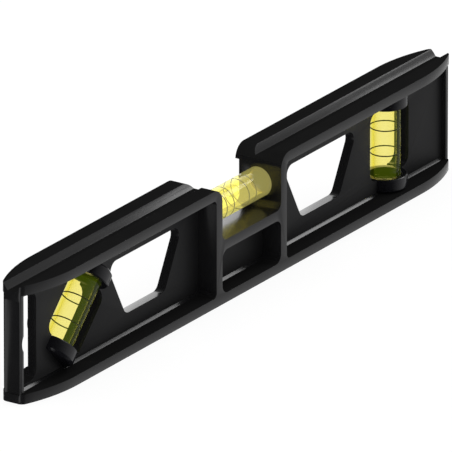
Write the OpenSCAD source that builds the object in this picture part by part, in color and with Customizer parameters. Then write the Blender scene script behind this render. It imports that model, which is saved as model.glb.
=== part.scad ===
// Pocket spirit level with a pipe groove: one moulded body and three vials
// (level, plumb and 45 degrees). Millimetres, +Z up, X along the body, +Y to the back.
// The origin is at the centre of the bottom measuring face.

/* [Body] */
// Overall length
body_l = 229; // [210:1:300]
// Width over the two side faces
body_w = 16.2; // [15.6:0.1:24]
// Height over the measuring faces
body_h = 36.9; // [36:0.1:42]
// Width of the flat end, before its corners are rounded
end_w = 6.8; // [6:0.1:9]
// Length over which each side curves in to the end
end_run = 22; // [14:0.5:30]
// Radius of the upright corners at the ends
end_corner_r = 2.2; // [0.8:0.1:2.6]
// Thickness of the rim along the measuring faces and beside the notch
rim_t = 3.1; // [2.6:0.1:3.5]
// Thickness of the web in the middle of the body
web_t = 3; // [2:0.1:4]
// Thickness of the upright end walls
end_wall_t = 1.5; // [1.5:0.1:3]
// Width of the upright end walls, across the body
end_wall_w = 6.2; // [5:0.1:6.6]
// Height and depth of the small slope where the web meets its ledge
foot_size = 0.7; // [0.3:0.1:1.2]
// Corner radius inside the side pockets
pocket_r = 1.6; // [0.6:0.1:3]

/* [Pipe groove] */
// Width of the groove at the top face
groove_top_w = 6; // [4:0.1:7]
// Width of the groove floor
groove_floor_w = 3; // [1:0.1:3.6]
// Depth of the groove
groove_depth = 2.1; // [1:0.1:2.4]
// Depth of the upright groove in each end wall
end_groove_depth = 0.35; // [0.2:0.05:0.4]
// Width of each sloping side of that groove
end_groove_slope_w = 1.4; // [0.6:0.1:1.6]
// Land left beside that groove at each corner
end_groove_land = 0.15; // [0.1:0.05:0.5]

/* [Notch] */
// Width of the open notch for the level vial
notch_w = 31.4; // [26:0.1:40]
// Height of the notch floor above the bottom face
notch_floor_z = 19.9; // [19:0.1:21]
// Radius of the two corners of the notch floor
notch_floor_r = 2.4; // [1:0.1:4]
// Radius of the two top corners beside the notch
notch_top_r = 4.5; // [2:0.1:5]
// How far the back of the notch is set in below the top rail
notch_relief = 1.3; // [0.5:0.1:2]
// Height of the top rail over that relief
notch_relief_h = 4.3; // [3.6:0.1:6]
// Corner radius of the pocket under the notch
under_r = 2.8; // [1:0.1:4]

/* [Cut-outs] */
// Web left between a notch wall and the top of a hand cut-out
cutout_gap = 8; // [4:0.1:12]
// Distance from the body's end to the top of a cut-out
cutout_inset = 47.4; // [46.6:0.1:56]
// How far each side of a cut-out slants in from its top to its bottom edge
cutout_slant = 9.8; // [5:0.1:12]
// Height of the bottom edge above the bottom face
cutout_z = 9.3; // [7:0.1:12]
// Height of a cut-out
cutout_h = 18.4; // [14:0.1:19]
// Corner radius of a cut-out
cutout_r = 3; // [1:0.1:4]
// Width of the hanging slot at the left end
slot_w = 8.9; // [6:0.1:10]
// Height of the hanging slot
slot_h = 27.4; // [20:0.1:29]
// Corner radius of the hanging slot
slot_r = 3.2; // [1:0.1:4]
// Radius of the nail seat in the end wall
nail_seat_r = 4.2; // [2.5:0.1:6]
// Depth of the nail seat
nail_seat_depth = 0.8; // [0.3:0.05:0.8]

/* [Vials] */
// Outer diameter of every vial tube
vial_d = 9.3; // [8:0.1:10]
// Diameter of the liquid chamber at its middle
chamber_d = 6.8; // [5.4:0.1:7]
// How much narrower the chamber's radius is at its ends
chamber_crown = 0.15; // [0.05:0.05:0.4]
// Thickness of the closed end of a tube
vial_floor_t = 1.8; // [1.2:0.1:2.6]
// Length of the plug that closes the other end
plug_t = 2; // [1.4:0.1:2.4]
// Diameter of the plug
plug_d = 7.4; // [7.2:0.1:7.8]
// Height of the level vial's axis above the bottom face
level_vial_z = 26.9; // [26:0.1:29]
// How deep each end of the level vial sits in the notch wall
level_seat_depth = 2.4; // [1.6:0.1:2.5]
// Distance of the plumb vial's axis from the right end
plumb_vial_inset = 30; // [26.5:0.5:34.5]
// Distance of the middle of the 45 degree vial from the left end
angle_vial_inset = 31; // [29.5:0.5:32]

/* [Vial caps] */
// Outer diameter of an end cap
cap_d = 13.5; // [12.6:0.1:14]
// Length of an end cap
cap_l = 4.45; // [4:0.05:4.8]
// Depth of the cap's bore, which takes the tube's end
cap_bore_depth = 3.2; // [2:0.1:3.4]
// Chamfer round the closed end of a cap
cap_chamfer = 0.8; // [0.6:0.05:1.2]
// Chamfer round the open rim of a cap
cap_rim_chamfer = 0.3; // [0.1:0.05:0.5]
// Width of the window in the web behind a vial
window_w = 21; // [18:0.1:22]
// Corner radius of a window
window_r = 3.2; // [1:0.1:4]

/* [Marks and liquid] */
// Width of a ring mark
ring_w = 0.36; // [0.2:0.02:0.6]
// Depth of the turned groove that holds a ring mark
ring_depth = 0.12; // [0.05:0.01:0.2]
// Distance between the two inner ring marks
ring_gap = 8; // [7:0.1:9]
// Distance between the two outer ring marks of the level vial
ring_gap_outer = 15.6; // [12:0.1:20]
// Length of the level vial's bubble
bubble_l = 7.4; // [6:0.1:8]
// Depth of the level vial's bubble below the top of the chamber
bubble_depth = 1.9; // [1.2:0.1:2.4]
// Radius of the bubble's rounded underside
bubble_r = 2.4; // [2:0.1:3]
// Height of the gas over the plumb vial's liquid
plumb_gas_h = 1.2; // [0.6:0.1:3]
// Height of the gas over the 45 degree vial's liquid
angle_gas_h = 3; // [1.5:0.1:4]

/* [Hidden] */

$fn = 96;
cut_over = 1;                                     // how far a cutter runs past a face
proud = 0.005;                                    // a rounding's circle crosses its edges by this much
fit = 0.05;                                       // clearance round a seated piece
half_l = body_l / 2;
half_w = body_w / 2;
mid_z = body_h / 2;
ledge_z = rim_t;                                  // top of the bottom rim, inside
roof_z = body_h - rim_t;                          // underside of the top rim
notch_wall_x = notch_w / 2 + rim_t;               // pocket side of a notch wall
pocket_end_x = half_l - end_wall_t;               // inner face of an end wall
// The side's arc is tangent to the side face and passes through the end's corner
end_sag = (body_w - end_w) / 2;
side_r = (end_run * end_run + end_sag * end_sag) / (2 * end_sag);
side_cx = half_l - end_run;
side_cy = side_r - half_w;
// The corner's arc is tangent to the end face and, from inside, to the side's arc
corner_cx = half_l - end_corner_r;
corner_cy = side_cy - sqrt(pow(side_r - end_corner_r, 2) - pow(corner_cx - side_cx, 2));
end_groove_w = end_wall_w - 2 * end_groove_land;
end_groove_floor_w = end_groove_w - 2 * end_groove_slope_w;
slot_x = -pocket_end_x + slot_w / 2;              // middle of the hanging slot
plumb_vial_x = half_l - plumb_vial_inset;
angle_vial_x = half_l - angle_vial_inset;
vial_r = vial_d / 2;
chamber_r = chamber_d / 2;
cap_r = cap_d / 2;
level_vial_l = notch_w + 2 * level_seat_depth - 2 * fit;
clear_l = roof_z - ledge_z - 2 * cap_l;           // short vial between its caps, which fill the pocket
short_vial_l = clear_l + 2 * cap_bore_depth - 2 * fit;
angle_tilt = 45;
chamber_steps = 5;                                // steps from the middle of a chamber to its end
body_colour = [0.1, 0.1, 0.105];
cap_colour = [0.12, 0.12, 0.125];
tube_colour = [0.9, 0.93, 0.55, 0.4];
plug_colour = [0.85, 0.88, 0.5];
liquid_colour = [0.86, 0.84, 0.2];
ring_colour = [0.15, 0.14, 0.05];

// A convex outline with one radius for each corner: every corner loses what lies
// outside the circle that is tangent to its two edges
module rounded_outline(points, radii) {
    count = len(points);
    difference() {
        polygon(points);
        for (i = [0 : count - 1])
            if (radii[i] > 0)
                corner_waste(points[(i + count - 1) % count], points[i], points[(i + 1) % count], radii[i]);
    }
}

// The waste between corner b and its rounding's circle, with a and c as the neighbours
// of b. It fans out from the circle's centre past both tangent points.
module corner_waste(a, b, c, r) {
    to_a = (a - b) / norm(a - b);
    to_c = (c - b) / norm(c - b);
    half_angle = acos(to_a * to_c) / 2;
    run = r / tan(half_angle);
    middle = (to_a + to_c) / norm(to_a + to_c);
    centre = b + middle * r / sin(half_angle);
    past = 1 + cut_over / r / 4;
    difference() {
        polygon([centre, centre + (b + to_a * run - centre) * past, b - middle * cut_over,
                 centre + (b + to_c * run - centre) * past]);
        translate(centre) circle(r + proud);
    }
}

// A rounded rectangle from corner to corner
module rounded_rect(x0, z0, x1, z1, r) {
    rounded_outline([[x0, z0], [x1, z0], [x1, z1], [x0, z1]], [r, r, r, r]);
}

// Turns a drawing in X and Z into a slab from y0 to y1
module slab(y0, y1) {
    translate([0, y1, 0]) rotate([90, 0, 0]) linear_extrude(y1 - y0) children();
}

// The same slab right through the body
module through() {
    slab(-half_w - cut_over, half_w + cut_over) children();
}

// Both the shape and its mirror image across the middle of the length
module both_ends() {
    children();
    mirror([1, 0, 0]) children();
}

// Both the shape and its mirror image across the web
module both_sides() {
    children();
    mirror([0, 1, 0]) children();
}

// Seen from above: a bar whose sides curve in to a flat end with rounded corners
module plan() {
    difference() {
        square([body_l, body_w], center = true);
        both_ends() both_sides() {
            side_waste();
            end_corner_waste();
        }
    }
}

// What lies outside the long arc of one side
module side_waste() {
    difference() {
        translate([side_cx, -half_w - cut_over]) square([end_run + cut_over, half_w + cut_over]);
        translate([side_cx, side_cy]) circle(side_r + proud, $fn = 720);
    }
}

// What lies outside the small arc at one corner of the end. It fans out from the arc's
// centre, from the point where the arc touches the side round to the end face, and its
// circle stands proud of the long arc's too.
module end_corner_waste() {
    centre = [corner_cx, corner_cy];
    outwards = (centre - [side_cx, side_cy]) / norm(centre - [side_cx, side_cy]);
    past = centre + outwards * (end_corner_r + cut_over);
    difference() {
        polygon([centre, past, [half_l + cut_over, past[1]], [half_l + cut_over, corner_cy]]);
        translate(centre) circle(end_corner_r + 2 * proud);
    }
}

// The pocket between a notch wall and the end wall, drawn for the right-hand side
module end_pocket() {
    inner_r = max(pocket_r, notch_top_r - rim_t);
    rounded_outline([[notch_wall_x, ledge_z], [pocket_end_x, ledge_z],
                     [pocket_end_x, roof_z], [notch_wall_x, roof_z]],
                    [pocket_r, 0, 0, inner_r]);
}

// All pockets of one side, seen from the front
module pockets() {
    both_ends() end_pocket();
    rounded_rect(-notch_w / 2, ledge_z, notch_w / 2, notch_floor_z - rim_t, under_r);
}

// The gap between the rims that lets a pocket run out past its narrow end wall
module pocket_mouth() {
    from_x = pocket_end_x - pocket_r;
    translate([from_x, ledge_z]) square([half_l + cut_over - from_x, roof_z - ledge_z]);
}

// The open notch, with rounded shoulders where it meets the top face
module notch() {
    top = body_h + cut_over;
    rounded_outline([[-notch_w / 2, notch_floor_z], [notch_w / 2, notch_floor_z],
                     [notch_w / 2, top], [-notch_w / 2, top]],
                    [notch_floor_r, notch_floor_r, 0, 0]);
    both_ends() corner_waste([notch_w / 2, 0], [notch_w / 2, body_h], [half_l, body_h], notch_top_r);
}

// The right-hand cut-out, wide at the top. It reaches from the notch wall's side to the
// vial's side, so it grows with the body.
module cutout() {
    from_x = notch_wall_x + cutout_gap;
    to_x = half_l - cutout_inset;
    top = cutout_z + cutout_h;
    rounded_outline([[from_x + cutout_slant, cutout_z], [to_x - cutout_slant, cutout_z],
                     [to_x, top], [from_x, top]],
                    [cutout_r, cutout_r, cutout_r, cutout_r]);
}

// The hanging slot between the end wall and the web
module hanging_slot() {
    rounded_outline([[-slot_w / 2, -slot_h / 2], [slot_w / 2, -slot_h / 2],
                     [slot_w / 2, slot_h / 2], [-slot_w / 2, slot_h / 2]],
                    [0, slot_r, slot_r, 0]);
}

// The shallow round seat for a nail in the inner face of the end wall
module nail_seat() {
    translate([-pocket_end_x - nail_seat_depth + nail_seat_r, mid_z]) circle(nail_seat_r);
}

// The window behind a short vial and the two seats for its caps, along Z
module vial_window() {
    rounded_rect(-window_w / 2, -clear_l / 2, window_w / 2, clear_l / 2, window_r);
    seat_w = cap_d + 2 * fit;
    for (side = [-1, 1])
        translate([-seat_w / 2, side * (clear_l + cap_l) / 2 - cap_l / 2]) square([seat_w, cap_l]);
}

// The pipe groove along the top face
module pipe_groove() {
    over = groove_depth / 10;
    spread = (groove_top_w - groove_floor_w) / 2 / groove_depth;
    rotate([90, 0, 90]) translate([0, 0, -half_l - cut_over]) linear_extrude(body_l + 2 * cut_over)
        polygon([[-groove_floor_w / 2, body_h - groove_depth], [groove_floor_w / 2, body_h - groove_depth],
                 [groove_top_w / 2 + spread * over, body_h + over],
                 [-groove_top_w / 2 - spread * over, body_h + over]]);
}

// The upright groove in the outer face of the right-hand end wall
module end_groove() {
    over = end_groove_depth / 2;
    spread = (end_groove_w - end_groove_floor_w) / 2 / end_groove_depth;
    bottom = rim_t - end_groove_depth;
    top = body_h - groove_depth - rim_t + end_groove_depth / 2;
    translate([0, 0, bottom]) linear_extrude(top - bottom)
        polygon([[half_l - end_groove_depth, -end_groove_floor_w / 2],
                 [half_l + over, -end_groove_w / 2 - spread * over],
                 [half_l + over, end_groove_w / 2 + spread * over],
                 [half_l - end_groove_depth, end_groove_floor_w / 2]]);
}

// The small slope along the foot of the web, from the left to the right end wall
module web_foot() {
    face = web_t / 2;
    rotate([90, 0, 90]) translate([0, 0, -pocket_end_x]) linear_extrude(2 * pocket_end_x)
        polygon([[-face - foot_size, ledge_z], [-face, ledge_z + foot_size],
                 [face, ledge_z + foot_size], [face + foot_size, ledge_z],
                 [face + foot_size, ledge_z - foot_size], [-face - foot_size, ledge_z - foot_size]]);
}

// Places a shape drawn round the origin along Z where each vial lies
module at_level() { translate([0, 0, level_vial_z]) rotate([0, 90, 0]) children(); }
module at_plumb() { translate([plumb_vial_x, 0, mid_z]) children(); }
module at_angle() { translate([-angle_vial_x, 0, mid_z]) rotate([0, angle_tilt, 0]) children(); }

module body() {
    color(body_colour) difference() {
        union() {
            difference() {
                linear_extrude(body_h) plan();
                both_sides() slab(-half_w - cut_over, -web_t / 2) pockets();
                both_sides() slab(-half_w - cut_over, -end_wall_w / 2) both_ends() pocket_mouth();
            }
            intersection() {
                web_foot();
                linear_extrude(body_h) plan();
            }
        }
        through() notch();
        both_ends() slab(-web_t, web_t) cutout();
        slab(-web_t, web_t) translate([slot_x, mid_z]) hanging_slot();
        through() nail_seat();
        at_plumb() slab(-web_t / 2 - foot_size, web_t / 2 + foot_size) vial_window();
        intersection() {
            at_angle() slab(-web_t / 2 - foot_size, web_t / 2 + foot_size) vial_window();
            translate([-half_l, -web_t, ledge_z]) cube([body_l, 2 * web_t, roof_z - ledge_z]);
        }
        both_ends() end_groove();
        pipe_groove();
        at_level() cylinder(h = notch_w + 2 * level_seat_depth, d = vial_d + 2 * fit, center = true);
        notch_back_relief();
    }
}

// The back of the notch walls lies further in than the back of the top rail
module notch_back_relief() {
    translate([-notch_wall_x - cut_over / 10, half_w - notch_relief, ledge_z])
        cube([2 * notch_wall_x + cut_over / 5, notch_relief + cut_over,
              body_h - notch_relief_h - ledge_z]);
}

// A tube closed at its lower end, with a seat for the plug at its upper end and a
// turned groove for each ring mark
module vial_tube(length, marks) {
    color(tube_colour) difference() {
        cylinder(h = length, d = vial_d, center = true);
        chamber(length);
        translate([0, 0, length / 2 - plug_t]) cylinder(h = plug_t + cut_over, d = plug_d);
        for (z = marks) ring_shape(z, cut_over);
    }
}

// The barrel-shaped chamber between the closed end and the plug: its radius falls off
// with the square of the distance from the middle
module chamber(length) {
    low = -length / 2 + vial_floor_t;
    high = length / 2 - plug_t;
    half = (high - low) / 2;
    wall = [for (i = [-chamber_steps : chamber_steps])
            [chamber_r - chamber_crown * pow(i / chamber_steps, 2), half * i / chamber_steps]];
    translate([0, 0, (low + high) / 2]) rotate_extrude()
        polygon(concat([[0, -half]], wall, [[0, half]]));
}

// A thin ring round the tube at height z, as deep as its groove
module ring_shape(z, over) {
    translate([0, 0, z - ring_w / 2]) difference() {
        cylinder(h = ring_w, r = vial_r + over);
        translate([0, 0, -cut_over]) cylinder(h = ring_w + 2 * cut_over, r = vial_r - ring_depth);
    }
}

module vial_plug(length) {
    color(plug_colour) translate([0, 0, length / 2 - plug_t]) cylinder(h = plug_t, d = plug_d);
}

// The ring marks of a long and of a short vial, measured from the middle
function level_marks() = [-ring_gap_outer / 2, -ring_gap / 2, ring_gap / 2, ring_gap_outer / 2];
function short_marks() = [-ring_gap / 2, ring_gap / 2];

// A bubble under the upper side of the lying chamber: a bar with round ends, above the
// liquid's surface, drawn along Z and towards -X, which is up once the vial is laid down
module lying_bubble() {
    rise = chamber_r - bubble_depth + bubble_r;
    straight = bubble_l - 2 * bubble_r;
    translate([-rise, 0, 0]) {
        cylinder(h = straight, r = bubble_r, center = true);
        for (side = [-1, 1]) translate([0, 0, side * straight / 2]) sphere(bubble_r);
    }
}

// One end cap with its bore facing down, standing on its rim at z = 0
module vial_cap() {
    color(cap_colour) difference() {
        rotate_extrude() polygon([[0, 0], [cap_r - cap_rim_chamfer, 0], [cap_r, cap_rim_chamfer],
                                  [cap_r, cap_l - cap_chamfer], [cap_r - cap_chamfer, cap_l], [0, cap_l]]);
        translate([0, 0, -cut_over]) cylinder(h = cap_bore_depth + cut_over, d = vial_d + 2 * fit);
    }
}

module level_vial_tube() { at_level() vial_tube(level_vial_l, level_marks()); }
module level_vial_plug() { at_level() vial_plug(level_vial_l); }
module level_vial_liquid() {
    color(liquid_colour) at_level() difference() {
        chamber(level_vial_l);
        lying_bubble();
    }
}
module level_vial_ring(i) { color(ring_colour) at_level() ring_shape(level_marks()[i], 0); }

module plumb_vial_tube() { at_plumb() vial_tube(short_vial_l, short_marks()); }
module plumb_vial_plug() { at_plumb() vial_plug(short_vial_l); }
module plumb_vial_liquid() { at_plumb() short_liquid(0, plumb_gas_h); }
module plumb_vial_ring(i) { color(ring_colour) at_plumb() ring_shape(short_marks()[i], 0); }
module plumb_cap_top() { at_plumb() translate([0, 0, clear_l / 2]) vial_cap(); }
module plumb_cap_bottom() { at_plumb() mirror([0, 0, 1]) translate([0, 0, clear_l / 2]) vial_cap(); }

module angle_vial_tube() { at_angle() vial_tube(short_vial_l, short_marks()); }
module angle_vial_plug() { at_angle() vial_plug(short_vial_l); }
module angle_vial_liquid() { at_angle() short_liquid(angle_tilt, angle_gas_h); }
module angle_vial_ring(i) { color(ring_colour) at_angle() ring_shape(short_marks()[i], 0); }
module angle_cap_upper() { at_angle() translate([0, 0, clear_l / 2]) vial_cap(); }
module angle_cap_lower() { at_angle() mirror([0, 0, 1]) translate([0, 0, clear_l / 2]) vial_cap(); }

// The liquid of a short vial that leans by tilt. Its surface is level and lies gas_h
// under the chamber's highest point.
module short_liquid(tilt, gas_h) {
    top = (short_vial_l / 2 - plug_t) * cos(tilt) + (chamber_r - chamber_crown) * sin(tilt);
    color(liquid_colour) difference() {
        chamber(short_vial_l);
        rotate([0, -tilt, 0]) translate([0, 0, top - gas_h + (gas_h + cut_over) / 2])
            cube([short_vial_l, vial_d, gas_h + cut_over], center = true);
    }
}

body();
level_vial_tube();
level_vial_plug();
level_vial_liquid();
level_vial_ring(0);  // level_vial_ring_1
level_vial_ring(1);  // level_vial_ring_2
level_vial_ring(2);  // level_vial_ring_3
level_vial_ring(3);  // level_vial_ring_4
plumb_vial_tube();
plumb_vial_plug();
plumb_vial_liquid();
plumb_vial_ring(0);  // plumb_vial_ring_1
plumb_vial_ring(1);  // plumb_vial_ring_2
plumb_cap_top();
plumb_cap_bottom();
angle_vial_tube();
angle_vial_plug();
angle_vial_liquid();
angle_vial_ring(0);  // angle_vial_ring_1
angle_vial_ring(1);  // angle_vial_ring_2
angle_cap_upper();
angle_cap_lower();
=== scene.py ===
# %% [markdown]
# # Pocket spirit level
# A pocket level is one black moulding with three yellow-green vials set into it. Its
# construction is already packed as a fixed frame, and this script adds what the eye needs:
# softly rounded moulded edges, satin plastic with a fine grain, clear acrylic with coloured
# liquid in it, and the light of a product photograph. All lengths are metres, so a
# millimetre is written as `1 * MM`.

# %% Load the frame
import math

import bmesh
import bpy
import numpy as np
from mathutils import Matrix, Vector


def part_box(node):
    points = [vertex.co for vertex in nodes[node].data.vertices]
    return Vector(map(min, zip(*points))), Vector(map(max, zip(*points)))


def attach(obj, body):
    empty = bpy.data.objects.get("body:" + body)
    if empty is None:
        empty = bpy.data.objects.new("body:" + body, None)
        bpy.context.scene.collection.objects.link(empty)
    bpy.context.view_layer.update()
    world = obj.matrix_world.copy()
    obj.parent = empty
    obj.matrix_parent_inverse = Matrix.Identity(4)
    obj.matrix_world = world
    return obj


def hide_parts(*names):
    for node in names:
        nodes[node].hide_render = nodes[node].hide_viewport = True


MM = 0.001
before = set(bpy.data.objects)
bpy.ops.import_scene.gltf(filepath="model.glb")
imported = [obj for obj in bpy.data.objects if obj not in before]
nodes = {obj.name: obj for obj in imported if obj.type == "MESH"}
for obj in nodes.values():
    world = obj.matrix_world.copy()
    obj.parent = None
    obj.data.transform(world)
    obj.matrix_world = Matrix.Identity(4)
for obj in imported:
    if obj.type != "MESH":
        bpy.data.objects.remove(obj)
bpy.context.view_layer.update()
print("nodes:", len(nodes))

# %% [markdown]
# The photograph was taken from the front left and a little from above, from far away with a
# long lens, so parallel edges stay nearly parallel. A camera can be turned by hand until it
# looks right, but here its angles were fitted to edges whose real lengths are known. Its
# matrix is built from unit vectors: the columns are right, up, backwards and its place.

# %% Camera
VIEW_AZIMUTH = math.radians(56.6245)
VIEW_ELEVATION = math.radians(21.2483)
VIEW_DISTANCE = 6.2851
LENS_MM = 1700
MIDDLE_HEIGHT = 18.45 * MM
AIM_LEFT, AIM_DOWN = 0.866 * MM, 0.4833 * MM

right = np.array([math.cos(VIEW_AZIMUTH), -math.sin(VIEW_AZIMUTH), 0.0])
forward = np.array([math.cos(VIEW_ELEVATION) * math.sin(VIEW_AZIMUTH),
                    math.cos(VIEW_ELEVATION) * math.cos(VIEW_AZIMUTH),
                    -math.sin(VIEW_ELEVATION)])
up = np.cross(right, forward)
aim = np.array([0, 0, MIDDLE_HEIGHT]) - right * AIM_LEFT - up * AIM_DOWN

camera_data = bpy.data.cameras.new("camera")
camera_data.lens = LENS_MM
camera_data.sensor_width = 36
camera_data.clip_start = 0.5
camera_data.clip_end = 20
camera = bpy.data.objects.new("camera", camera_data)
pose = np.eye(4)
pose[:3] = np.stack([right, up, -forward, aim - forward * VIEW_DISTANCE], -1)
camera.matrix_world = Matrix(pose.tolist())
bpy.context.scene.collection.objects.link(camera)
bpy.context.scene.camera = camera
bpy.context.scene.view_settings.view_transform = "Standard"
print("camera at", [round(x, 3) for x in camera.matrix_world.translation], "m")

# %% [markdown]
# A material could be put together by hand in the shader editor. In code it stays readable
# with three small helpers: one turns a colour as it looks on a screen (sRGB hex) into linear
# light, one adds a node with its settings and links, and one starts an empty material.

# %% Colour and node helpers
def linear(code):
    """The linear RGBA of an sRGB hex code: ((c + 0.055) / 1.055) ** 2.4 above 0.04045, and
    c / 12.92 below it."""
    values = [int(code[i:i + 2], 16) / 255 for i in (1, 3, 5)]
    return tuple(c / 12.92 if c <= 0.04045 else ((c + 0.055) / 1.055) ** 2.4
                 for c in values) + (1.0,)


def add(tree, kind, inputs=None, **settings):
    """Adds a node. `inputs` maps an input's name or number to the output socket that feeds
    it, or to a constant. `settings` are the node's own properties."""
    node = tree.nodes.new(kind)
    for key, value in settings.items():
        setattr(node, key, value)
    for key, value in (inputs or {}).items():
        if isinstance(value, bpy.types.NodeSocket):
            tree.links.new(value, node.inputs[key])
        else:
            node.inputs[key].default_value = value
    return node


def new_material(name):
    """A material with an empty node tree, that tree, and its output node."""
    material = bpy.data.materials.new(name)
    material.use_nodes = True
    tree = material.node_tree
    tree.nodes.clear()
    return material, tree, add(tree, "ShaderNodeOutputMaterial")


WHITE = linear("#ffffff")
print("white in linear light:", WHITE)

# %% [markdown]
# Black plastic shows the room more than its own colour, so the room matters as much as the
# plastic does. A picture of a studio could be wrapped round the scene, but a few soft round
# panels do, and each can be set by itself. The photograph was lit from the right and from
# behind, and the left side of its room was dark.

# %% Panels of the mirrored room
world = bpy.data.worlds.new("surround")
bpy.context.scene.world = world
world.use_nodes = True
sky = world.node_tree
sky.nodes.clear()
direction = add(sky, "ShaderNodeTexCoord").outputs["Generated"]


def towards(azimuth, elevation):
    """The unit vector (cos e cos a, cos e sin a, sin e) that points to an azimuth (0 = +X,
    90 = +Y) and an elevation, both in degrees."""
    a, e = math.radians(azimuth), math.radians(elevation)
    return Vector((math.cos(e) * math.cos(a), math.cos(e) * math.sin(a), math.sin(e)))


def glow(azimuth, elevation, inner, outer, level):
    """A soft round panel of the room: `level` within `inner` degrees of a direction, falling
    smoothly to nothing at `outer` degrees. The angle is read through its cosine, which is
    the dot product of the two directions."""
    dot = add(sky, "ShaderNodeVectorMath", {0: direction, 1: towards(azimuth, elevation)},
              operation="DOT_PRODUCT")
    return add(sky, "ShaderNodeMapRange",
               {"Value": dot.outputs["Value"],
                "From Min": math.cos(math.radians(outer)),
                "From Max": math.cos(math.radians(inner)),
                "To Min": 0.0, "To Max": level},
               interpolation_type="SMOOTHSTEP").outputs["Result"]


def total(a, b):
    """The sum of two sockets or numbers."""
    return add(sky, "ShaderNodeMath", {0: a, 1: b}, operation="ADD").outputs[0]


# The pale right side, which falls off to the dark left
room = glow(azimuth=-5, elevation=0, inner=20, outer=115, level=0.55)
# Each panel is its azimuth, elevation, inner and outer angle, and level
PANELS = ((34, 22, 10, 28, 1.8),     # behind and above: lights the upper edges
          (33, -20, 5, 18, 1.3),     # the white behind the level, on grazing surfaces
          (176, -21, 8, 20, 1.0))    # far left: lights the groove in the left end
for panel in PANELS:
    room = total(room, glow(*panel))
# What shows through the vials: white behind the level, dark to the sides
DARK_LEVEL = 0.06
behind = total(glow(azimuth=33, elevation=-21, inner=35, outer=60, level=1.0), DARK_LEVEL)
print("room: a pale side and", len(PANELS), "panels")

# %% [markdown]
# Every ray that leaves the scene can ask the Light Path node what kind of ray it is, so one
# surround can give four answers. The camera sees plain white, soft light is a light grey,
# a mirrored ray sees the room above, and a ray through a vial sees what is behind it. This
# gives a white picture without putting more light on the object.

# %% Surround
SOFT_LEVEL, CAMERA_LEVEL = 0.75, 1.0
rays = add(sky, "ShaderNodeLightPath").outputs
diffuse_answer, camera_answer, mirror_answer, through_answer = [
    add(sky, "ShaderNodeBackground", {"Color": WHITE, "Strength": strength}).outputs[0]
    for strength in (SOFT_LEVEL, CAMERA_LEVEL, room, behind)]
shown = diffuse_answer
for kind, answer in (("Is Glossy Ray", mirror_answer),
                     ("Is Transmission Ray", through_answer),
                     ("Is Camera Ray", camera_answer)):
    shown = add(sky, "ShaderNodeMixShader", {0: rays[kind], 1: shown, 2: answer}).outputs[0]
add(sky, "ShaderNodeOutputWorld", {"Surface": shown})
print("surround nodes:", len(sky.nodes))

# %% [markdown]
# One large square lamp stands high on the right, a little to the front. It draws the bright
# line along the rounded edges. It could be given in watts, but a lamp that is moved or
# resized would then change how bright it looks in a mirror. So its level is the radiance of
# its surface, and the power follows from it.

# %% Key light
def soft_light(name, azimuth, elevation, distance, size, level):
    """A square soft light that faces the middle of the level. `level` is the radiance of its
    surface, so its power is pi * area * level."""
    lamp = bpy.data.lights.new(name, "AREA")
    lamp.size = size
    lamp.energy = math.pi * size ** 2 * level
    holder = bpy.data.objects.new(name, lamp)
    holder.location = towards(azimuth, elevation) * distance
    holder.rotation_euler = towards(azimuth, elevation).to_track_quat("Z", "Y").to_euler()
    bpy.context.scene.collection.objects.link(holder)
    print(name, "%.1f W" % lamp.energy)


soft_light("key light", azimuth=-20, elevation=39, distance=2.4, size=0.85, level=3.6)

# %% [markdown]
# The level stands on a pale floor. A plain white plane would turn grey where less light falls
# on it, so most of this one glows white and the rest is matt paper, which keeps the soft
# shadow where the level touches it. Mirrors and vials don't see the floor, because the
# photograph shows none in them.

# %% Floor
FLOOR_SIZE = 1.6
FLOOR_GAP = 0.02 * MM
GLOWING_SHARE, GLOW_LEVEL = 0.8, 1.1
half = FLOOR_SIZE / 2
floor_mesh = bpy.data.meshes.new("floor")
floor_mesh.from_pydata([(-half, -half, 0), (half, -half, 0), (half, half, 0), (-half, half, 0)],
                       [], [(0, 1, 2, 3)])
floor = bpy.data.objects.new("floor", floor_mesh)
bpy.context.scene.collection.objects.link(floor)
floor.location.z = -FLOOR_GAP
floor.visible_glossy = False
floor.visible_transmission = False

paper, tree, out = new_material("white paper")
matt = add(tree, "ShaderNodeBsdfDiffuse", {"Color": linear("#f4f4f4")})
lit = add(tree, "ShaderNodeEmission", {"Color": WHITE, "Strength": GLOW_LEVEL})
mix = add(tree, "ShaderNodeMixShader",
          {0: GLOWING_SHARE, 1: matt.outputs[0], 2: lit.outputs[0]})
tree.links.new(mix.outputs[0], out.inputs["Surface"])
floor_mesh.materials.append(paper)
print("floor:", FLOOR_SIZE, "m square")

# %% [markdown]
# The body is moulded in black ABS, with a refractive index of 1.54. The mould leaves
# polished rims and a spark-eroded texture on the web, and the measuring faces are milled
# flat afterwards. One material with painted masks could show all three, but they differ
# in gloss and end at sharp edges, so three materials on the faces themselves are simpler. The
# grain is noise in Object coordinates, so its size is a real one.

# %% Moulded plastics
CLOUD_MM, CLOUD_GAIN, GLOSS_SWING = 7, 1.3, 0.04


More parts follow.
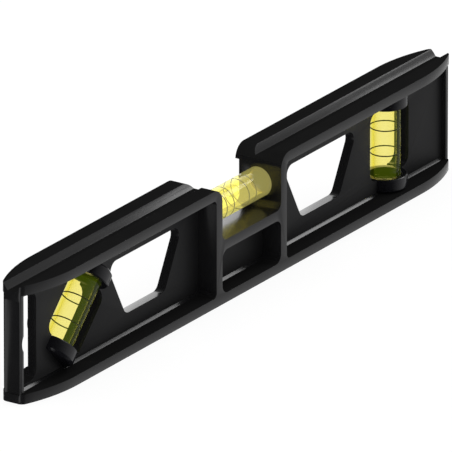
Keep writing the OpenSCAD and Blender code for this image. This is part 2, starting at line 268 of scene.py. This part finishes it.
def plastic(name, colour, roughness, grain_mm, grain_height_mm, ior=1.54, specular=0.5):
    """An opaque plastic or ink. Clouds CLOUD_MM wide shift its colour between the given one
    and CLOUD_GAIN times that, and its roughness by GLOSS_SWING either way. Its bump is a
    grain of the given width and height."""
    material, tree, out = new_material(name)
    where = add(tree, "ShaderNodeTexCoord").outputs["Object"]
    clouds = add(tree, "ShaderNodeTexNoise",
                 {"Vector": where, "Scale": 1 / (CLOUD_MM * MM), "Detail": 3.0})
    grain = add(tree, "ShaderNodeTexNoise",
                {"Vector": where, "Scale": 1 / (grain_mm * MM), "Detail": 2.0})
    base = linear(colour)
    paler = tuple(CLOUD_GAIN * c for c in base[:3]) + (1.0,)
    # A colour Mix node has its factor at input 0 and its two colours at inputs 6 and 7
    shade = add(tree, "ShaderNodeMix", {0: clouds.outputs["Fac"], 6: base, 7: paler},
                data_type="RGBA")
    gloss = add(tree, "ShaderNodeMapRange",
                {"Value": clouds.outputs["Fac"],
                 "To Min": roughness - GLOSS_SWING, "To Max": roughness + GLOSS_SWING})
    bump = add(tree, "ShaderNodeBump",
               {"Height": grain.outputs["Fac"], "Distance": grain_height_mm * MM,
                "Strength": 1.0})
    shader = add(tree, "ShaderNodeBsdfPrincipled",
                 {"Base Color": shade.outputs[2], "Roughness": gloss.outputs["Result"],
                  "Normal": bump.outputs["Normal"], "IOR": ior,
                  "Specular IOR Level": specular})
    tree.links.new(shader.outputs["BSDF"], out.inputs["Surface"])
    return material


# Polished: a soft mirror. Its grain is finer than a pixel and only breaks up the gloss.
rim_plastic = plastic("moulded ABS, polished", "#151516", roughness=0.22,
                      grain_mm=0.2, grain_height_mm=0.0008)
# Spark-eroded: an even, dull black. The real grain is finer, and is drawn 0.35 mm wide so
# that it shows. Its pits shade each other, so it mirrors less than smooth ABS.
web_plastic = plastic("moulded ABS, textured", "#161617", roughness=0.5,
                      grain_mm=0.35, grain_height_mm=0.012, specular=0.22)
# Milled: fine tool marks scatter all light, so it mirrors nothing. They are drawn 0.5 mm
# wide, coarser than they are, so that they show.
milled_plastic = plastic("milled ABS", "#191919", roughness=0.8,
                         grain_mm=0.5, grain_height_mm=0.006, specular=0.0)
# The caps come from a smoother mould: a deeper black with a sharper highlight
cap_plastic = plastic("cap ABS", "#101013", roughness=0.2,
                      grain_mm=0.2, grain_height_mm=0.0006)
print("plastics:", [m.name for m in (rim_plastic, web_plastic, milled_plastic, cap_plastic)])

# %% [markdown]
# The visible body starts as a copy of the construction's mesh, because that is exact and
# already has every opening in its place. The frame's mesh is loose triangles, so the copy's
# doubled points are merged, and triangles that lie in one plane are joined. A Bevel modifier
# needs both.

# %% A clean copy of the body
MERGE_DISTANCE = 0.0005 * MM
FLAT_DEGREES = 0.05


def merged_copy(name, source):
    """A new object from a CAD node's mesh, with doubled points merged and flat regions
    joined. The node's own mesh is left alone."""
    mesh = nodes[source].data.copy()
    mesh.name = name
    mesh.materials.clear()
    bm = bmesh.new()
    bm.from_mesh(mesh)
    bmesh.ops.remove_doubles(bm, verts=bm.verts, dist=MERGE_DISTANCE)
    bmesh.ops.dissolve_limit(bm, angle_limit=math.radians(FLAT_DEGREES), verts=bm.verts,
                             edges=bm.edges, use_dissolve_boundaries=False)
    bm.to_mesh(mesh)
    bm.free()
    piece = bpy.data.objects.new(name, mesh)
    bpy.context.scene.collection.objects.link(piece)
    return piece


body = merged_copy("moulded_body", "body")
print("body faces:", len(body.data.polygons))

# %% [markdown]
# A mould always leaves a small radius on an edge, and these radii catch the light as thin
# bright lines. They could be drawn by a shader that blurs the edges, but real geometry also
# shows in the outline. Each edge gets a bevel weight: 1 on the outer edges, half on the edges
# of the thin web, and none on the small steps of a curve.

# %% Weights of the rounded edges
BEVEL_DEGREES, CREASE_DEGREES = 20, 12
WEB_EDGE_SHARE = 0.5
WEB_FACE_Y = 1.5 * MM
NEAR = 0.02 * MM


def on_web(edge):
    """True when both ends of an edge lie in a face of the web, at y = +- WEB_FACE_Y."""
    return all(abs(abs(v.co.y) - WEB_FACE_Y) < NEAR for v in edge.verts)


def weigh_edges(mesh):
    """Gives each edge that turns by more than BEVEL_DEGREES its bevel weight, keeps those
    between CREASE_DEGREES and that as sharp creases, and returns how many were weighed."""
    bm = bmesh.new()
    bm.from_mesh(mesh)
    layer = bm.edges.layers.float.new("bevel_weight_edge")
    count = 0
    for edge in bm.edges:
        turn = math.degrees(edge.calc_face_angle(0)) if len(edge.link_faces) == 2 else 0
        if turn > BEVEL_DEGREES:
            edge[layer] = WEB_EDGE_SHARE if on_web(edge) else 1.0
            count += 1
        elif turn > CREASE_DEGREES:
            edge.smooth = False
    bm.to_mesh(mesh)
    bm.free()
    return count


print("rounded edges:", weigh_edges(body.data))

# %% [markdown]
# The three finishes are given face by face. They could be picked by hand in edit mode, but a
# rule on where a face lies and which way it looks does the same and keeps working when the
# body changes. The web's two faces are textured. The top and bottom, the floor of the groove
# along the top, the corners of the notch and the ledge of the bottom rim are matt.

# %% Finishes of the body
RIM, WEB, MILLED = 0, 1, 2
GROOVE_HALF, GROOVE_DEPTH, LEDGE_TOP = 4 * MM, 4 * MM, 8 * MM
for material in (rim_plastic, web_plastic, milled_plastic):
    body.data.materials.append(material)
faces = body.data.polygons
normal = np.empty((len(faces), 3), np.float32)
centre = np.empty((len(faces), 3), np.float32)
faces.foreach_get("normal", normal.ravel())
faces.foreach_get("center", centre.ravel())
upward, sideways = normal[:, 2], np.abs(normal[:, 1])
height, off_middle = centre[:, 2], np.abs(centre[:, 1])
top_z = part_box("body")[1].z
near_top = height > top_z - GROOVE_DEPTH

# A face's normal is compared by cosines: 1 looks straight along the axis
web = (sideways > 0.99) & (np.abs(off_middle - WEB_FACE_Y) < NEAR)
flat = (np.abs(upward) > 0.99) & (np.minimum(np.abs(height), np.abs(height - top_z)) < NEAR)
ledge = (upward > 0.8) & (height < LEDGE_TOP)
notch_corner = (upward > 0.3) & (sideways < 0.1) & near_top
groove = (upward > 0.7) & (off_middle < GROOVE_HALF) & near_top
finish = np.select([web, flat | ledge | notch_corner | groove], [WEB, MILLED], RIM)
faces.foreach_set("material_index", finish.astype(np.int32))
print("faces with each finish:", np.bincount(finish).tolist())

# %% [markdown]
# The Bevel modifier now rounds each edge by its weight. It is left live, so that its width
# can still be changed. Its hardened normals keep the large faces flat, and only the rounded
# strips between them shade smoothly.

# %% Rounded body
BEVEL_WIDTH, BEVEL_SEGMENTS = 0.2 * MM, 3
bevel = body.modifiers.new("mould radii", "BEVEL")
bevel.limit_method = "WEIGHT"
bevel.width = BEVEL_WIDTH
bevel.segments = BEVEL_SEGMENTS
bevel.harden_normals = True
body.data.shade_smooth()
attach(body, "root")
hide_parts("body")
print("mould radius:", BEVEL_WIDTH / MM, "mm")

# %% [markdown]
# The caps, tubes, plugs and rings are turned shapes. A turned shape starts as an outline of
# radius and height. It could be drawn as a curve, but here each is a short list of corners
# and one radius for each corner, as on a workshop drawing. The small arcs catch the light.

# %% Outlines with rounded corners
def profile(points, radii, steps=4):
    """The outline through `points` with every inner corner replaced by an arc of its radius.
    The arc starts and ends r / tan(opening / 2) from the corner, where the opening is the
    angle between the two lines, and its points are blended along the sweep by sines."""
    points = np.array(points, float)
    out = [points[0]]
    for before, corner, after, r in zip(points[:-2], points[1:-1], points[2:], radii):
        a = (before - corner) / np.linalg.norm(before - corner)
        b = (after - corner) / np.linalg.norm(after - corner)
        opening = np.arccos(np.clip(a @ b, -1, 1))
        run = r / np.tan(opening / 2)
        centre = corner + (a + b) / np.linalg.norm(a + b) * r / np.sin(opening / 2)
        start, end = corner + a * run - centre, corner + b * run - centre
        t = np.linspace(0, 1, steps + 1)[:, None]
        sweep = np.pi - opening
        arc = (np.sin((1 - t) * sweep) * start + np.sin(t * sweep) * end) / np.sin(sweep)
        out.extend(centre + arc)
    out.append(points[-1])
    return np.array(out)


print("a rounded corner:", np.round(profile([(0, 0), (1, 0), (1, 1)], [0.2]), 2).tolist())

# %% [markdown]
# An outline becomes a surface when it is carried round its axis. Blender's Screw modifier
# does that too, but a grid worked out with numpy gives every point by one formula, and the
# same mesh function then serves each surface in this file. Doubled points at the poles and
# seams are merged, so every surface is closed.

# %% Surfaces from grids
SAME_POINT = 1e-8


def turned_grid(outline, segments=96):
    """x = r cos a, y = r sin a, z = h for every (r, h) of the outline, in millimetres."""
    angle = np.arange(segments) * 2 * np.pi / segments
    r, h = outline[:, 0][:, None], outline[:, 1][:, None]
    return np.stack([r * np.cos(angle), r * np.sin(angle), h + 0 * angle], -1)


def mesh_from_grid(name, grid, material, flip=False):
    """A closed surface from a grid of points. Rows run from pole to pole or round a closed
    profile, and columns run round the axis and close on themselves. Each face joins four
    neighbours, and `flip` turns the faces to look the other way."""
    rows, columns = grid.shape[:2]
    i = np.arange(rows - 1)[:, None] * columns
    j = np.arange(columns)[None, :]
    k = (j + 1) % columns
    faces = np.stack([i + j, i + k, i + columns + k, i + columns + j], -1).reshape(-1, 4)
    mesh = bpy.data.meshes.new(name)
    mesh.from_pydata(grid.reshape(-1, 3), [], faces[:, ::-1] if flip else faces)
    bm = bmesh.new()
    bm.from_mesh(mesh)
    bmesh.ops.remove_doubles(bm, verts=bm.verts, dist=SAME_POINT)
    bm.to_mesh(mesh)
    bm.free()
    mesh.shade_smooth()
    mesh.materials.append(material)
    return mesh


print("points round a turned piece:", turned_grid(np.zeros((1, 2))).shape[1])

# %% [markdown]
# A vial is easiest to draw upright round its own axis. Its place is then a turn and an
# origin that carry every point to where the vial lies: one lies along the level, one stands,
# and one slants at 45 degrees. Objects could be turned instead, but a finished piece stays
# at the origin with its place in its mesh, so that its pattern doesn't slide.

# %% Places of the vials
def placed(grid, place):
    """Turns millimetres in a vial's own frame into metres in the shared frame: turn * p +
    origin, times MM."""
    turn, origin = place
    return (grid @ np.array(turn).T + np.array(origin)) * MM


def middle_of(node):
    """The middle of a CAD node's box, in millimetres."""
    low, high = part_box(node)
    return np.array((low + high) / 2) / MM


def add_piece(name, mesh, replaced):
    """Puts a mesh in the scene as a piece that rides on the body and replaces a CAD node."""
    piece = bpy.data.objects.new(name, mesh)
    bpy.context.scene.collection.objects.link(piece)
    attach(piece, "root")
    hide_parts(replaced)
    return piece


LEAN = math.sqrt(0.5)  # the sine and the cosine of 45 degrees
PLACES = {
    "level": (((0, 0, 1), (0, 1, 0), (-1, 0, 0)), middle_of("level_vial_tube")),
    "plumb": (((1, 0, 0), (0, 1, 0), (0, 0, 1)), middle_of("plumb_vial_tube")),
    "angle": (((LEAN, 0, LEAN), (0, 1, 0), (-LEAN, 0, LEAN)), middle_of("angle_vial_tube"))}
print("vial middles (mm):", {k: np.round(v[1], 2).tolist() for k, v in PLACES.items()})

# %% [markdown]
# Through the two short vials the photograph shows a dark band, which is the deep wall of the
# window behind them: the moulding is thicker there at the back. A low rim behind each side
# of the window stands for it. A curve with a bevel profile would do, but the same grid
# function can carry a profile along the window's outline, and that joins to the body as mesh.

# %% Outline of the windows
WINDOW_HALF_W, WINDOW_HALF_L, WINDOW_R = 10.5, 10.9, 3.2
RIM_START = 7.0
CORNER_POINTS = 9
corner = np.linspace(0, np.pi / 2, CORNER_POINTS)
turn_x, turn_z = WINDOW_HALF_W - WINDOW_R, WINDOW_HALF_L - WINDOW_R
outward = np.stack([np.cos(corner), np.sin(corner)], -1)
bend = [turn_x, turn_z] + WINDOW_R * outward
below = [1, -1]
side_path = np.concatenate([[(RIM_START, -WINDOW_HALF_L)], bend[::-1] * below, bend,
                            [(RIM_START, WINDOW_HALF_L)]])
side_normals = np.concatenate([[(0, -1)], outward[::-1] * below, outward, [(0, 1)]])
print("points along a window's side:", len(side_path))

# %% [markdown]
# The profile is a narrow wall with rounded corners that starts just inside the web. A point
# of the rim is p(s) + n(s) a across the face and b in depth, where p and n are the outline and
# its normal, and (a, b) is a point of the profile. Each end closes to its middle point.

# %% Window rims at the back
RIM_W, RIM_FOOT = 1.2, 1.4
RIM_BACK = {"plumb": 3.9, "angle": 5.6}
bm = bmesh.new()
bm.from_mesh(body.data)
for vial, back in RIM_BACK.items():
    seam = (RIM_W / 2, RIM_FOOT)
    section = profile([seam, (0, RIM_FOOT), (0, back), (RIM_W, back), (RIM_W, RIM_FOOT), seam],
                      [0.05, 0.25, 0.25, 0.05])[:-1]
    across = side_path[:, None, :] + side_normals[:, None, :] * section[None, :, :1]
    depth = section[None, :, 1] + 0 * across[..., 0]
    rim = np.stack([across[..., 0], depth, across[..., 1]], -1)
    first, last = [rim[at].mean(1, keepdims=True) + 0 * rim[at]
                   for at in (slice(0, 1), slice(-1, None))]
    rim = np.concatenate([first, rim, last])
    for side in (1, -1):
        part = mesh_from_grid("rim", placed(rim * [side, 1, 1], PLACES[vial]), rim_plastic,
                              flip=side > 0)
        bm.from_mesh(part)
        bpy.data.meshes.remove(part)
bm.to_mesh(body.data)
bm.free()
print("body faces with the window rims:", len(body.data.polygons))

# %% [markdown]
# A cap is a short cup of black ABS over the end of a tube. Its closed end has a broad
# chamfer, its open rim has a narrow one, and all its edges are softened. One outline serves
# all four caps: it is turned once, and mirrored for the lower end of a vial.

# %% Caps
CAP_R, CAP_L, CAP_BORE_R, CAP_BORE_DEPTH = 6.75, 4.45, 4.7, 3.2
CAP_START = 10.9
CAP_CHAMFER, CAP_RIM_CHAMFER = 0.8, 0.3

cap_points = [(0, CAP_BORE_DEPTH), (CAP_BORE_R, CAP_BORE_DEPTH), (CAP_BORE_R, 0),
              (CAP_R - CAP_RIM_CHAMFER, 0), (CAP_R, CAP_RIM_CHAMFER),
              (CAP_R, CAP_L - CAP_CHAMFER), (CAP_R - CAP_CHAMFER, CAP_L), (0, CAP_L)]
CAP_ROUNDINGS = [0.1, 0.15, 0.2, 0.25, 0.35, 0.35]  # one for each inner corner
cap_outline = profile(cap_points, CAP_ROUNDINGS)
for name, vial, side in (("plumb_cap_top", "plumb", 1), ("plumb_cap_bottom", "plumb", -1),
                         ("angle_cap_upper", "angle", 1), ("angle_cap_lower", "angle", -1)):
    grid = turned_grid(cap_outline + [0, CAP_START]) * [1, 1, side]
    mesh = mesh_from_grid(name, placed(grid, PLACES[vial]), cap_plastic, flip=side > 0)
    add_piece("turned_" + name, mesh, name)
print("cap outline:", len(cap_outline), "points")

# %% [markdown]
# The vials are tinted acrylic tubes that hold a fluorescent yellow-green alcohol. A plain
# yellow glass would be the same colour all over. Here the tube's colour comes from
# absorption in its volume, so its sides, where light runs longest inside the wall, are the
# deepest yellow. The alcohol glows a little in daylight, which is why it is green and not
# black before a dark wall. That glow is painted light: an emission of the acrylic and the
# alcohol that stands in for their fluorescence and doesn't change with the light on them.
# The photograph shows the rings of the two short vials as whole ellipses, as if light
# crossed them almost straight, so the index inside is close to 1, and a clear coat of index
# 1.49, that of acrylic, gives the gloss. The level vial shows only the near arcs of its rings
# and a clear bubble, which this index doesn't give.

# %% Clear material
INNER_IOR, ACRYLIC_IOR = 1.01, 1.49
WAVE_MM, WAVE_HEIGHT_MM, WAVE_GLOSS = 4, 0.002, 0.02
COAT_ROUGHNESS = 0.03
EDGE_FROM, EDGE_TO = 0.45, 0.85


def clear(name, colour, roughness, through=1.0, coat=0.0, glow=0.0,
          shine="#a4cc34", edge=None, absorbed=None):
    """A clear material. `through` is its see-through share, `coat` the weight of its gloss,
    and `glow` the strength of a painted glow in the colour `shine`: an emission that stands
    in for fluorescence and scattered light, whatever light falls on it. `edge` is a colour
    painted where it is seen edge-on, a painted shade at its outline, and `absorbed` the red,
    green and blue that are lost per metre: e to the power of minus that and the distance is
    left. Waves WAVE_MM wide make its surface uneven."""
    material, tree, out = new_material(name)
    where = add(tree, "ShaderNodeTexCoord").outputs["Object"]
    waves = add(tree, "ShaderNodeTexNoise",
                {"Vector": where, "Scale": 1 / (WAVE_MM * MM), "Detail": 1.0}).outputs["Fac"]
    bump = add(tree, "ShaderNodeBump",
               {"Height": waves, "Distance": WAVE_HEIGHT_MM * MM, "Strength": 1.0})
    gloss = add(tree, "ShaderNodeMapRange",
                {"Value": waves, "To Min": roughness, "To Max": roughness + WAVE_GLOSS})
    tint = linear(colour)
    # A painted shade: the tint turns to `edge` where the surface is seen edge-on
    if edge:
        turned = add(tree, "ShaderNodeLayerWeight", {"Blend": 0.5}).outputs["Facing"]
        rim = add(tree, "ShaderNodeMapRange",
                  {"Value": turned, "From Min": EDGE_FROM, "From Max": EDGE_TO})
        tint = add(tree, "ShaderNodeMix",
                   {0: rim.outputs["Result"], 6: tint, 7: linear(edge)},
                   data_type="RGBA").outputs[2]
    # The emission is a painted glow: it shines whatever light falls on the material
    shader = add(tree, "ShaderNodeBsdfPrincipled",
                 {"Base Color": tint, "Roughness": gloss.outputs["Result"],
                  "IOR": INNER_IOR, "Transmission Weight": through,
                  "Coat Weight": coat, "Coat IOR": ACRYLIC_IOR,
                  "Coat Roughness": COAT_ROUGHNESS, "Normal": bump.outputs["Normal"],
                  "Emission Color": linear(shine), "Emission Strength": glow})
    tree.links.new(shader.outputs["BSDF"], out.inputs["Surface"])
    if absorbed:
        most = max(absorbed)
        kept = [1 - share / most for share in absorbed] + [1.0]
        volume = add(tree, "ShaderNodeVolumeAbsorption", {"Color": kept, "Density": most})
        tree.links.new(volume.outputs[0], out.inputs["Volume"])
    return material


print("index inside:", INNER_IOR, "coat:", ACRYLIC_IOR)

# %% [markdown]
# The level vial lies in the open, where daylight scatters in it and makes it paler and
# brighter than the other two. It could get a lamp of its own, but that would light the
# body too, so that light is painted in: it has a paler acrylic with a strong glow and a
# paler ink of its own, lit copies of the other two. The ink of the rings is a dark olive
# and opaque, so the plastic function above makes it.

# %% Acrylic, alcohol and ink
# Acrylic: clear in front, deep yellow at its sides, with a faint painted glow
tube_acrylic = clear("tinted acrylic", "#ffffff", 0.0, coat=0.5, glow=0.02,
                     absorbed=(35, 60, 400))
# The same acrylic with painted light: paler, milky and glowing, a lit copy of the one above
painted_lit_acrylic = clear("tinted acrylic with painted daylight", "#fbf9b8", 0.0, through=0.96, coat=0.5,
                    glow=0.17, shine="#e6dc90", absorbed=(15, 20, 120))
# Alcohol: a faint warm tint with a painted green glow that stands in for its fluorescence
vial_liquid = clear("fluorescent alcohol", "#faf3da", 0.0, glow=0.012)
# The bubble's skin: clear in the middle, with a painted dark ring at its edge
bubble_skin = clear("bubble surface", "#fdfdf0", 0.0, coat=1.0, edge="#5a6a20")
# The plug is thick, so it is a deeper amber, and its ground face is dull
plug_acrylic = clear("plug acrylic", "#c9b060", 0.2)
# Ink: a satin film with no grain that could show
INK = {"roughness": 0.45, "grain_mm": 0.1, "grain_height_mm": 0.0005, "ior": 1.5}
ring_ink = plastic("ring ink", "#504c18", **INK)
# A paler copy of the ring ink: painted light on the rings of the level vial
painted_lit_ink = plastic("ring ink with painted daylight", "#86833a", **INK)
print("clear materials:", [m.name for m in (tube_acrylic, painted_lit_acrylic, vial_liquid,
                                            bubble_skin, plug_acrylic)])

# %% [markdown]
# The tubes are closed at one end and plugged at the other. Their bores are barrel-shaped:
# the radius falls off with the square of the distance from the middle, which is what brings
# the bubble of a lying vial back to the middle. A boolean could cut the bore, but one closed
# outline that runs up the outside and down the bore needs no cut.

# %% Tubes
TUBE_R, BORE_R, CROWN = 4.65, 3.4, 0.15
FLOOR_T, PLUG_T, PLUG_R = 1.8, 2.0, 3.7
LENGTHS = {"level": 36.1, "plumb": 28.1, "angle": 28.1}


def bore(length, count=13):
    """(radius, height) along the bore: r = BORE_R - CROWN * t ** 2, t from -1 to 1."""
    t = np.linspace(-1, 1, count)
    low, high = -length / 2 + FLOOR_T, length / 2 - PLUG_T
    return np.stack([BORE_R - CROWN * t ** 2, (low + high) / 2 + (high - low) / 2 * t], -1)


for vial, length in LENGTHS.items():
    top = length / 2
    outside = profile([(0, -top), (TUBE_R, -top), (TUBE_R, top), (PLUG_R, top),
                       (PLUG_R, top - PLUG_T), (BORE_R - CROWN, top - PLUG_T)],
                      [0.25, 0.2, 0.1, 0.05])
    outline = np.concatenate([outside, bore(length)[::-1], [(0, -top + FLOOR_T)]])
    mesh = mesh_from_grid(vial + "_tube", placed(turned_grid(outline), PLACES[vial]),
                          painted_lit_acrylic if vial == "level" else tube_acrylic)
    add_piece(vial + "_vial_clear_tube", mesh, vial + "_vial_tube")
print("tubes (mm):", LENGTHS)

# %% [markdown]
# The plug is a small disc that sits in a wider seat at the tube's end, a hair smaller than
# the seat. A ring is a band in the tube's surface. Both are outlines of a few corners that
# are carried round the same axis, so they sit true to the tube.

# %% Plugs and rings
FIT, PLUG_PLAY = 0.01, 0.03
RING_W, RING_DEPTH = 0.36, 0.12
MARKS = {"level": (-7.8, -4, 4, 7.8), "plumb": (-4, 4), "angle": (-4, 4)}

for vial, marks in MARKS.items():
    place, top = PLACES[vial], LENGTHS[vial] / 2
    inner, edge_r = top - PLUG_T + FIT, PLUG_R - PLUG_PLAY
    plug = profile([(0, inner), (edge_r, inner), (edge_r, top), (0, top)], [0.1, 0.2])
    mesh = mesh_from_grid(vial + "_plug", placed(turned_grid(plug), place), plug_acrylic)
    add_piece(vial + "_vial_end_plug", mesh, vial + "_vial_plug")
    for i, at in enumerate(marks, 1):
        r0, r1 = TUBE_R - RING_DEPTH, TUBE_R - FIT
        low, high = at - RING_W / 2, at + RING_W / 2
        band = np.array([(r0, low), (r1, low), (r1, high), (r0, high), (r0, low)])
        mesh = mesh_from_grid("%s_ring_%d" % (vial, i), placed(turned_grid(band), place),
                              painted_lit_ink if vial == "level" else ring_ink)
        add_piece("%s_vial_band_%d" % (vial, i), mesh, "%s_vial_ring_%d" % (vial, i))
print("rings at (mm):", MARKS)

# %% [markdown]
# The liquid of an upright or slanting vial ends in a level surface, with the gas above it. A
# boolean with a flat cutter would give that too, but it leaves a ragged mesh. Here the wall
# goes up, in every direction round the axis, to where it meets the level plane or the plug,
# and more rings close the surface to the middle.

# %% Liquid of the short vials
OVERLAP = 0.02  # the liquid reaches this far into the tube, so no light slips between them
GAS = {"plumb": (0.0, 1.2), "angle": (math.radians(45), 3.0)}  # lean, height of the gas
ROUNDS = 6


def liquid_grid(length, lean, gas, wall_rows=30, top_rows=14, around=96):
    """The wall has the bore's radius, BORE_R - CROWN * ((z - middle) / reach) ** 2. It ends
    at the plane z cos(lean) - x sin(lean) = level, or at the plug. The radius there depends
    on the height, so the two are solved together in a few rounds. The top is then rings of
    that shape, shrunk to the axis, that lie in the same plane."""
    low, high = -length / 2 + FLOOR_T - OVERLAP, length / 2 - PLUG_T
    middle, reach = (low + high) / 2, (high - low) / 2
    level = high * math.cos(lean) + (BORE_R - CROWN) * math.sin(lean) - gas
    angle = np.arange(around) * 2 * np.pi / around

    def radius(z):
        """The bore's radius at height z, and the overlap."""
        return BORE_R + OVERLAP - CROWN * ((z - middle) / reach) ** 2

    def ceiling(x):
        """The liquid's highest z at x: the level plane, or the plug's face."""
        return np.minimum(high + OVERLAP / 2, (level + x * math.sin(lean)) / math.cos(lean))

    wall_top = np.full(around, high)
    for _ in range(ROUNDS):
        wall_top = ceiling(radius(wall_top) * np.cos(angle))
    t = np.linspace(0, 1, wall_rows)[:, None]
    z = low + (wall_top - low) * t
    r = radius(z)
    wall = np.stack([r * np.cos(angle), r * np.sin(angle), z], -1)
    rho = np.linspace(1, 0, top_rows)[1:, None] * r[-1]
    x, y = rho * np.cos(angle), rho * np.sin(angle)
    return np.concatenate([wall[:1] * [0, 0, 1], wall, np.stack([x, y, ceiling(x)], -1)])


for vial, (lean, gas) in GAS.items():
    grid = liquid_grid(LENGTHS[vial], lean, gas)
    mesh = mesh_from_grid(vial + "_liquid", placed(grid, PLACES[vial]), vial_liquid)
    add_piece(vial + "_vial_alcohol", mesh, vial + "_vial_liquid")
    print(vial, "liquid up to", round(float(grid[..., 2].max()), 2), "mm along the vial")

# %% [markdown]
# In the lying vial the gas is one bubble under the top of the bore, between the two inner
# rings. A scaled sphere would float free of the glass and look like a bead. The real one is
# pressed against the bore and rounded at its ends by surface tension, so this is a
# soft-cornered ellipsoid that is bent over the bore's curve.

# %% Bubble of the level vial
BUBBLE_L, BUBBLE_W, BUBBLE_H, FILM = 7.4, 5.2, 1.9, 0.04
BUBBLE_ROWS, BUBBLE_COLUMNS = 33, 64
u = np.linspace(0, np.pi, BUBBLE_ROWS)[:, None]
v = np.arange(BUBBLE_COLUMNS) * 2 * np.pi / BUBBLE_COLUMNS


def soft(x, power=0.85):
    """sign(x) |x| ** power: a power below 1 fills out the corners of an ellipsoid."""
    return np.sign(x) * np.abs(x) ** power


# An ellipsoid, lowered by how far the bore's circle falls off from its top
along = BUBBLE_L / 2 * soft(np.cos(u)) + 0 * v
across = BUBBLE_W / 2 * soft(np.sin(u)) * soft(np.cos(v))
height = BUBBLE_H / 2 * soft(np.sin(u)) * soft(np.sin(v))
drop = BORE_R - np.sqrt(BORE_R ** 2 - across ** 2)
rise = BORE_R - FILM - BUBBLE_H / 2 + height - drop
# In the vial's own frame the axis is z and up is -x
bubble = placed(np.stack([-rise, across, along], -1), PLACES["level"])
print("bubble:", BUBBLE_L, "x", BUBBLE_W, "x", BUBBLE_H, "mm")

# %% [markdown]
# The bubble is a hollow in the liquid, so its surface is part of the liquid's own mesh and
# looks inwards, into the gas. It keeps a material of its own, because the skin of a bubble
# mirrors more than the liquid does, and because its dark ring is painted shade: a darker
# colour where the skin is seen edge-on.

# %% Liquid of the level vial
walls = bore(LENGTHS["level"], 25) + [OVERLAP, 0]
walls = np.concatenate([[(0, walls[0, 1] - OVERLAP)], walls, [(0, walls[-1, 1])]])
walls[1, 1] -= OVERLAP
mesh = mesh_from_grid("level_liquid", placed(turned_grid(walls), PLACES["level"]), vial_liquid)
inner = mesh_from_grid("bubble", bubble, bubble_skin, flip=True)
wall_faces = len(mesh.polygons)
bm = bmesh.new()
bm.from_mesh(mesh)
bm.from_mesh(inner)
bm.to_mesh(mesh)
bm.free()
bpy.data.meshes.remove(inner)
mesh.materials.append(bubble_skin)
is_skin = np.arange(len(mesh.polygons)) >= wall_faces
mesh.polygons.foreach_set("material_index", is_skin.astype(np.int32))
mesh.shade_smooth()
add_piece("level_vial_alcohol", mesh, "level_vial_liquid")
print("level liquid faces:", wall_faces, "and", int(is_skin.sum()), "on the bubble")
